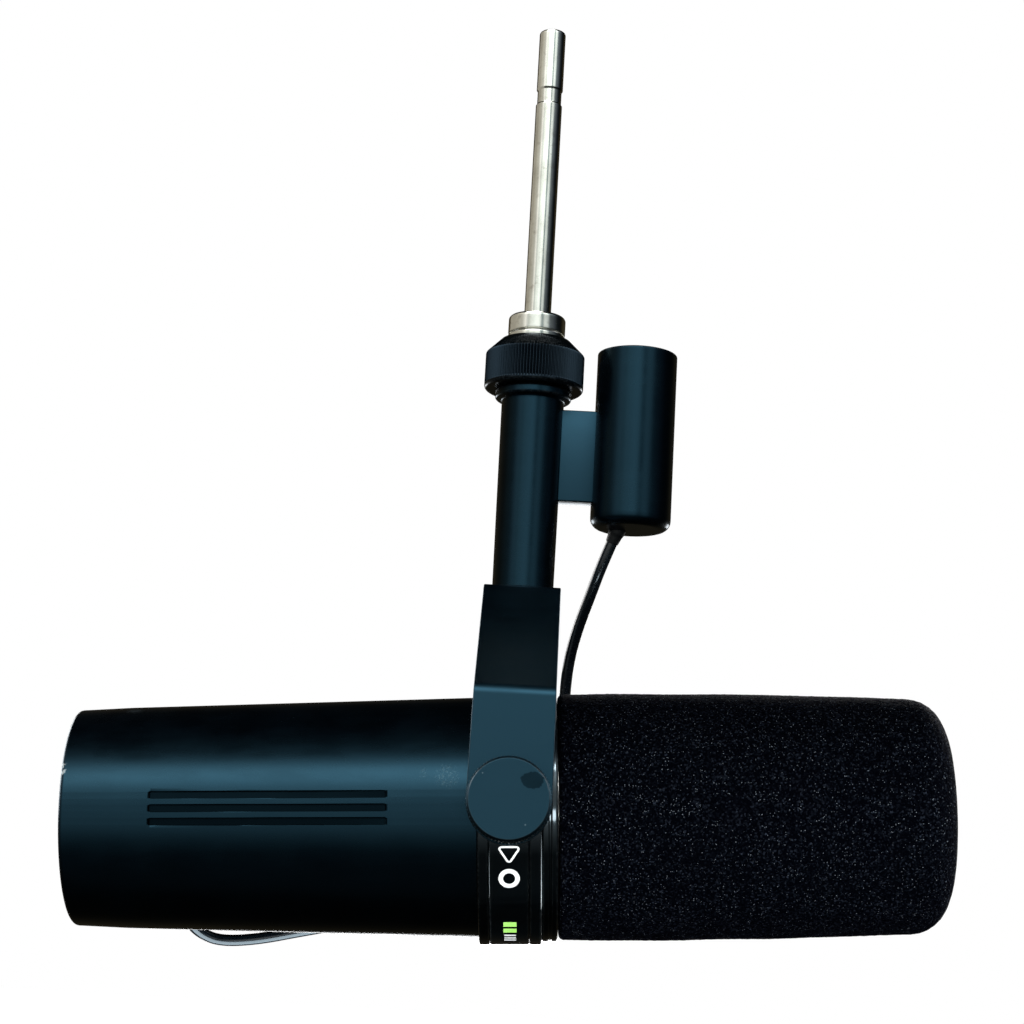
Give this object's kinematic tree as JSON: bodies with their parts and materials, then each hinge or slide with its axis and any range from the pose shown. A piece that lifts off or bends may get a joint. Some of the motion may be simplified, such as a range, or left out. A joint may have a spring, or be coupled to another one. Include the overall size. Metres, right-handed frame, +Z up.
{
  "type": "yoke-mounted broadcast microphone on a boom rod",
  "caption": "Cylindrical broadcast microphone with foam windscreen, tilting in a yoke that hangs from a plain boom rod.",
  "frame": {"origin": "on the boom rod's axis, where the bare rod leaves its collar", "axes": "+Z up along the rod, +X towards the foam windscreen, tilt axis along Y"},
  "size_m": [0.1982, 0.096, 0.2226],
  "materials": {
    "rod_nickel": "bright nickel plate, polished, with fine drawing lines along the rod",
    "steel_hardware": "zinc-plated steel",
    "black_paint": "satin black enamel with a fine eggshell texture",
    "black_tube": "satin black enamel, smoother than on the casing",
    "black_knurl": "satin black, knurled edge",
    "gloss_black": "gloss black",
    "brass": "turned brass",
    "fibre_washer": "black fibre",
    "insulator": "moulded black plastic",
    "contact_plating": "gold-plated contacts",
    "switch_white": "moulded pale plastic",
    "black_rubber": "soft black rubber",
    "lead_jacket": "smooth black cable jacket",
    "circuit_board": "green solder mask",
    "board_parts": "dark moulded components",
    "cage_steel": "black-coated steel",
    "gauze": "fine black woven screen",
    "air_tube": "plain aluminium",
    "copper": "enamelled copper winding",
    "magnet": "sintered magnet",
    "film": "thin polyester film",
    "foam": "open-cell black foam with small glints"
  },
  "bodies": {
    "boom_rod": {"boom_rod": "rod_nickel", "rod_collar": "rod_nickel", "lock_washer": "steel_hardware", "thread_stud": "rod_nickel", "thread_adapter": "rod_nickel"},
    "captive_nut": {"captive_nut": "black_knurl"},
    "yoke": {"stem_tube": "black_tube", "nut_retainer": "steel_hardware", "stem_screw": "steel_hardware", "yoke_strap": "black_paint", "bracket_plate": "black_paint", "connector_barrel": "black_tube", "connector_insert": "insulator", "contact_pins": "contact_plating", "insert_screw": "steel_hardware", "barrel_grommet": "black_rubber", "signal_lead": "lead_jacket"},
    "microphone": {"plate_screws": "steel_hardware", "far_pivot_stud": "steel_hardware", "near_pivot_stud": "steel_hardware", "pole_piece": "steel_hardware", "magnet_cup": "steel_hardware", "rear_casing": "black_paint", "chassis_ring": "black_paint", "switch_plate": "black_paint", "label_band": "gloss_black", "casing_flange": "gloss_black", "trim_ring": "gloss_black", "front_ring": "gloss_black", "far_pivot_sleeve": "brass", "near_pivot_sleeve": "brass", "far_inner_washer": "fibre_washer", "near_inner_washer": "fibre_washer", "far_outer_washer": "fibre_washer", "near_outer_washer": "fibre_washer", "capsule_housing": "insulator", "resonator_cap": "insulator", "board_rails": "insulator", "switch_housings": "insulator", "lead_gland": "black_rubber", "shock_rings": "black_rubber", "preamp_board": "circuit_board", "switch_board": "circuit_board", "board_parts": "board_parts", "grille_cage": "cage_steel", "cage_gauze": "gauze", "air_chamber": "air_tube", "hum_coil": "copper", "voice_coil": "copper", "magnet": "magnet", "diaphragm": "film"},
    "near_knob": {"near_knob": "black_knurl", "near_knob_insert": "brass"},
    "far_knob": {"far_knob": "black_knurl", "far_knob_insert": "brass"},
    "bass_switch": {"bass_switch": "switch_white"},
    "presence_switch": {"presence_switch": "switch_white"},
    "bypass_switch": {"bypass_switch": "switch_white"},
    "gain_switch": {"gain_switch": "switch_white"},
    "windscreen": {"foam_windscreen": "foam"}
  },
  "joints": [
    {"name": "yoke_swivel", "type": "hinge", "parent": "boom_rod", "child": "yoke", "pos_m": [0, 0, -0.013], "axis": [0, 0, 1], "continuous": true},
    {"name": "nut_turn", "type": "hinge", "parent": "yoke", "child": "captive_nut", "pos_m": [0, 0, -0.012], "axis": [0, 0, 1], "continuous": true},
    {"name": "tilt", "type": "hinge", "parent": "yoke", "child": "microphone", "pos_m": [0, 0, -0.1182], "axis": [0, -1, 0], "range_deg": [-49, 35], "deforming": ["signal_lead"]},
    {"name": "near_knob_turn", "type": "hinge", "parent": "microphone", "child": "near_knob", "pos_m": [0, -0.045, -0.1182], "axis": [0, 1, 0], "continuous": true},
    {"name": "far_knob_turn", "type": "hinge", "parent": "microphone", "child": "far_knob", "pos_m": [0, 0.045, -0.1182], "axis": [0, 1, 0], "continuous": true},
    {"name": "bass_switch_slide", "type": "slide", "parent": "microphone", "child": "bass_switch", "axis": [0, 1, 0], "range_m": [0, 0.002]},
    {"name": "presence_switch_slide", "type": "slide", "parent": "microphone", "child": "presence_switch", "axis": [0, 1, 0], "range_m": [0, 0.002]},
    {"name": "bypass_switch_slide", "type": "slide", "parent": "microphone", "child": "bypass_switch", "axis": [0, 1, 0], "range_m": [0, 0.002]},
    {"name": "gain_switch_slide", "type": "slide", "parent": "microphone", "child": "gain_switch", "axis": [0, 1, 0], "range_m": [0, 0.002]},
    {"name": "windscreen_slide", "type": "slide", "parent": "microphone", "child": "windscreen", "axis": [0.9984, 0, 0.0558], "range_m": [0, 0.09]}
  ]
}
